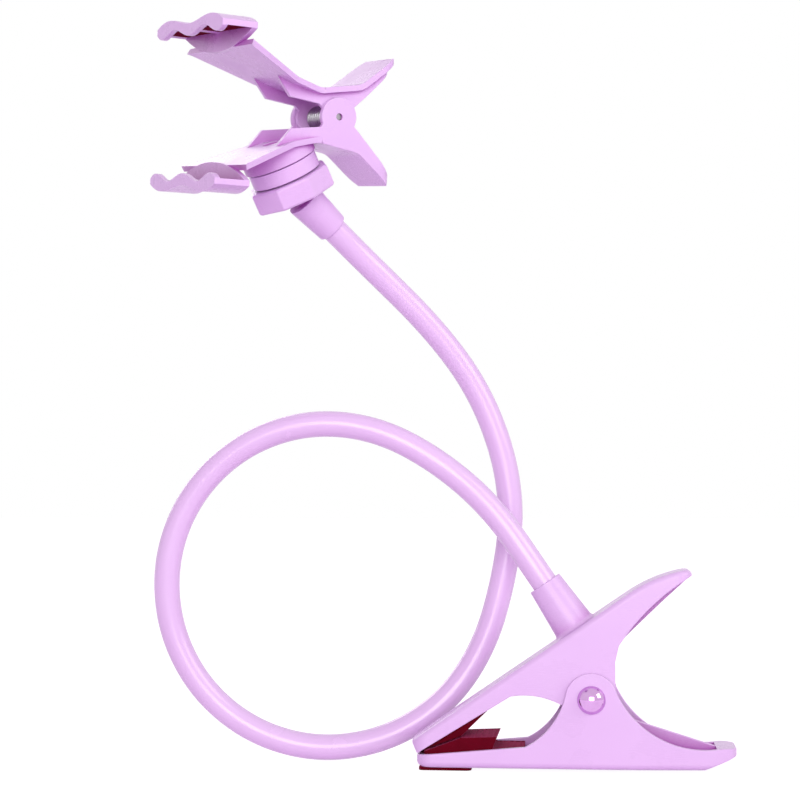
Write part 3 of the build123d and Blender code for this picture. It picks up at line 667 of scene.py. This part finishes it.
# Solid, piece, hinge, half the length of its turns
SPRINGS = (
    ("base_torsion_spring", "clamp_spring", "base_clamp", 0.007),
    ("phone_torsion_spring", "clip_spring", "phone_clip", 0.00405),
)
for node, name, joint_name, half_coil in SPRINGS:
    spring = welded_copy(node, name, weld=FINE_WELD)
    bpy.ops.object.shade_smooth_by_angle(angle=ROUND_WIRE)
    spring.data.materials.clear()
    spring.data.materials.append(wire_steel)
    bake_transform(spring)
    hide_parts(node)


# %% [markdown]
# ## Rubber pads with pockets
# Rubber grips better when its face is broken up, so the clamp's pads are moulded with a row of
# shallow pockets between cross ribs. Each pad is cut across by planes a rib apart, and every strip
# of its gripping face is inset and pushed in. Pushing in, not out, keeps the two pads clear of each
# other where the jaws are shut.

# %% Cut a pad's face into pockets
def cut_across(piece, points, direction):
    """Cuts a piece along planes through those points, square to a direction."""
    hold(piece)
    bpy.ops.object.mode_set(mode="EDIT")
    for point in points:
        bpy.ops.mesh.select_all(action="SELECT")
        bpy.ops.mesh.bisect(plane_co=point, plane_no=direction)
    bpy.ops.object.mode_set(mode="OBJECT")


def pick_faces(piece, wanted):
    """Selects the faces for which wanted(middle, normal) holds, and no others."""
    hold(piece)
    picked = [face for face in piece.data.polygons if wanted(face.center, face.normal)]
    select_only(piece, picked)
    return len(picked)


def press_pockets(piece, wanted, rim, depth):
    count = pick_faces(piece, wanted)
    bpy.ops.object.mode_set(mode="EDIT")
    bpy.ops.mesh.select_mode(type="FACE")
    bpy.ops.mesh.inset(thickness=rim, depth=-depth, use_individual=True)
    bpy.ops.object.mode_set(mode="OBJECT")
    print(piece.name, "has", count, "pockets")


# %% The clamp's two pads
POCKET_PITCH = 0.0024
POCKET_RIM = 0.0005
POCKET_DEPTH = 0.0004
PAD_ROUND = 0.00022
FACING = 0.85
ALONG_X = Vector((1, 0, 0))

for node, name, up in (("lower_jaw_pad", "lower_grip_pad", 1), ("upper_jaw_pad", "upper_grip_pad", -1)):
    pad = welded_copy(node, name)
    low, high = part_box(node)
    first = low[0] + POCKET_PITCH
    count = int((high[0] - low[0]) / POCKET_PITCH)
    cut_across(pad, [(first + POCKET_PITCH * step, 0, 0) for step in range(count)], ALONG_X)
    press_pockets(
        pad,
        lambda middle, normal: up * normal.z > FACING and middle.x - low[0] > POCKET_PITCH,
        POCKET_RIM,
        POCKET_DEPTH,
    )
    soften(pad, PAD_ROUND, 2, clear=False)
    fit(pad, rubber, node)


# %% [markdown]
# ## The pads in the phone clip's hooks
# Four small pads line the arches of the hooks, where the clip grips. They are the same rubber with
# finer ribs that run from the back of the hook to its lip, so the cuts are made square to the clip's
# pin and not to one of the frame's own axes.

# %% The hooks' pads
HOOK_RIB = 0.0019
HOOK_POCKET_RIM = 0.0004
HOOK_POCKET_DEPTH = 0.0003
HOOK_PAD_ROUND = 0.00015
HOOK_FACING = 0.97

for level in ("upper", "lower"):
    for side in ("near", "far"):
        node = f"phone_{level}_pad_{side}"
        pad = welded_copy(node, f"hook_pad_{level}_{side}")
        reach = [(corner.co - PIN_MIDDLE).dot(ALONG_PIN) for corner in pad.data.vertices]
        count = int((max(reach) - min(reach)) / HOOK_RIB)
        cuts = [PIN_MIDDLE + ALONG_PIN * (min(reach) + HOOK_RIB * (step + 0.5)) for step in range(count)]
        cut_across(pad, cuts, ALONG_PIN)
        away = 1 if level == "lower" else -1
        press_pockets(
            pad,
            lambda middle, normal: away * normal.z > HOOK_FACING,
            HOOK_POCKET_RIM,
            HOOK_POCKET_DEPTH,
        )
        soften(pad, HOOK_PAD_ROUND, 2, clear=False)
        fit(pad, rubber, node)


# %% [markdown]
# ## The rubber foot
# A flat strip of the same rubber under the lower jaw keeps the plastic off the table. It starts as a
# cube of its size. Its upright edges are rounded like a stuck-on foot's, and its underside is cut
# across in three places, so that it gets four shallow pockets.

# %% Mould the foot
FOOT_CORNER = 0.002
GROOVE_PITCH = 0.0065
GROOVE_RIM = 0.0012
GROOVE_DEPTH = 0.0003
FOOT_ROUND = 0.0002

low, high = (Vector(corner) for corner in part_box("jaw_foot"))
drop_selection()
bpy.ops.mesh.primitive_cube_add(size=1, location=(low + high) / 2, scale=high - low)
foot = bpy.context.object
foot.name = "rubber_foot"
bpy.ops.object.transform_apply(location=True, rotation=True, scale=True)
bpy.ops.object.mode_set(mode="EDIT")
bpy.ops.mesh.select_mode(type="EDGE")
bpy.ops.object.mode_set(mode="OBJECT")
uprights = []
for edge in foot.data.edges:
    first, second = ends_of(foot, edge)
    if abs(first.z - second.z) > NEAR:
        uprights.append(edge)
select_only(foot, uprights)
bpy.ops.object.mode_set(mode="EDIT")
bpy.ops.mesh.bevel(offset=FOOT_CORNER, segments=6)
bpy.ops.object.mode_set(mode="OBJECT")
cut_across(foot, [(0, low.y + GROOVE_PITCH * step, 0) for step in (1, 2, 3)], (0, 1, 0))
press_pockets(foot, lambda middle, normal: normal.z < -FACING, GROOVE_RIM, GROOVE_DEPTH)
soften(foot, FOOT_ROUND, 2)
fit(foot, rubber, "jaw_foot")


# %% [markdown]
# ## The rivet
# The clamp's hinge is a chromed rivet: a domed head in front, a shank through the four ears, and a
# domed cap pressed on behind. The dome is part of a ball much larger than the head, so a sphere of
# that size is cut off flat, its edge is drawn out to a short rim, and the shank is drawn out of the
# middle of its back. The cap is made the same way, without the shank.

# %% Make a domed head
RIVET_MIDDLE = Vector(hinge_named("base_clamp")["pos_m"])
HEAD_RADIUS = 0.0053
HEAD_RIM = 0.0007
DOME_RISE = 0.0036
DOME_BALL = (HEAD_RADIUS**2 + DOME_RISE**2) / (2 * DOME_RISE)
SQUARE_ON = 0.99


def domed_head(name, face_y, outward):
    """A chromed dome on an ear's outer face; outward is -1 in front and 1 behind."""
    foot_y = face_y + outward * HEAD_RIM
    centre = RIVET_MIDDLE.copy()
    centre.y = foot_y - outward * (DOME_BALL - DOME_RISE)
    drop_selection()
    bpy.ops.mesh.primitive_uv_sphere_add(
        segments=64, ring_count=60, radius=DOME_BALL, location=centre, rotation=(math.pi / 2, 0, 0)
    )
    head = bpy.context.object
    head.name = name
    bpy.ops.object.transform_apply(location=True, rotation=True, scale=True)
    bpy.ops.object.mode_set(mode="EDIT")
    bpy.ops.mesh.select_all(action="SELECT")
    bpy.ops.mesh.bisect(
        plane_co=(0, foot_y, 0), plane_no=(0, outward, 0), use_fill=True, clear_inner=True
    )
    bpy.ops.mesh.select_mode(type="FACE")
    bpy.ops.object.mode_set(mode="OBJECT")
    pick_faces(head, lambda middle, normal: -outward * normal.y > SQUARE_ON)
    bpy.ops.object.mode_set(mode="EDIT")
    bpy.ops.mesh.extrude_region_move(TRANSFORM_OT_translate={"value": (0, -outward * HEAD_RIM, 0)})
    bpy.ops.object.mode_set(mode="OBJECT")
    return head


# %% The rivet with its shank, and its cap
SHANK_RADIUS = 0.0026
HEAD_ROUND = 0.00018

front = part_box("base_lower_arm")[0][1]
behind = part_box("base_lower_arm")[1][1]
shank_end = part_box("base_pivot_rivet")[1][1]

rivet = domed_head("chrome_rivet", front, -1)
bpy.ops.object.mode_set(mode="EDIT")
bpy.ops.mesh.inset(thickness=HEAD_RADIUS - SHANK_RADIUS)
bpy.ops.mesh.extrude_region_move(TRANSFORM_OT_translate={"value": (0, shank_end - front, 0)})
bpy.ops.object.mode_set(mode="OBJECT")
soften(rivet, HEAD_ROUND)
fit(rivet, chrome, "base_pivot_rivet")

cap = domed_head("chrome_rivet_cap", behind, 1)
soften(cap, HEAD_ROUND)
fit(cap, chrome, "base_rivet_cap")


# %% [markdown]
# ## Floor and light
# The holder is shown on white, lit broadly from the camera's side, so that faces turned to the viewer
# are pale and the rounded edges fall off to a deeper lilac. Pale lilac plastic lights its own hollows
# with lilac light, so the floor's paint and the light that comes from all round are tinted a little.
# The floor looks white by a glow that only the camera and reflections see, which leaves the holder's
# own soft shadow on it. The world does the same: it is white to look at, but lights the holder less.
# A weak lamp from behind keeps the far side from going flat.

# %% White floor
FLOOR_SIZE = 14
FLOOR_DROP = 0.0002
GLOW = 1.7
GLOW_SHARE = 0.55
WHITE = (1, 1, 1, 1)


def looking_rays(wiring):
    """1 for rays from the camera and for those seen in gloss or through glass, 0 for those that light."""
    rays = ("Is Camera Ray", "Is Glossy Ray", "Is Transmission Ray")
    seen, mirrored, passed = (wiring.node("ShaderNodeLightPath", output=ray) for ray in rays)
    return seen + mirrored + passed


drop_selection()
bpy.ops.mesh.primitive_plane_add(size=FLOOR_SIZE, location=(0, 0, -FLOOR_DROP))
floor = bpy.context.object
floor.name = "Floor"
pale = Finish("pale_floor")
glow = pale.node("ShaderNodeEmission", {}, {"Color": WHITE, "Strength": GLOW})
paint = Value(pale, pale.shader.outputs[0])
pale.feed(Base_Color=colour(226, 199, 231), Roughness=0.9)
share = GLOW_SHARE * looking_rays(pale)
surface = pale.node("ShaderNodeMixShader", {}, {0: share, 1: paint, 2: glow})
pale.plug(pale.tree.nodes["Material Output"].inputs["Surface"], surface)
floor.data.materials.append(pale.material)
print("floor is stage")


# %% White world
AMBIENT = 0.5
LILAC_LIGHT = (0.92, 0.72, 1, 1)

world = bpy.data.worlds.new("Studio")
bpy.context.scene.world = world
world.use_nodes = True
sky = Wiring(world.node_tree)
backdrop = world.node_tree.nodes["Background"]
looked_at = looking_rays(sky)
sky.plug(backdrop.inputs["Color"], sky.blend(looked_at, LILAC_LIGHT, WHITE))
sky.plug(backdrop.inputs["Strength"], AMBIENT + (1 - AMBIENT) * looked_at)
print("world lights at", AMBIENT)


# %% Soft lamps
def softbox(name, place, aim, size, power):
    drop_selection()
    bpy.ops.object.light_add(type="AREA", location=place)
    lamp = bpy.context.object
    lamp.name = name
    lamp.data.shape = "SQUARE"
    lamp.data.size = size
    lamp.data.energy = power
    lamp.rotation_euler = (Vector(aim) - Vector(place)).to_track_quat("-Z", "Y").to_euler()


softbox("Front", (0.1, -1.5, 0.25), (0, 0, 0.12), 1.0, 15)
softbox("Right", (1.2, -0.5, 0.75), (0, 0, 0.15), 0.7, 5)
softbox("Back", (-0.9, 1.3, 0.8), (0, 0, 0.12), 0.9, 5)
bpy.context.scene.view_settings.view_transform = "Standard"
print("lamps", [light.name for light in bpy.data.lights])
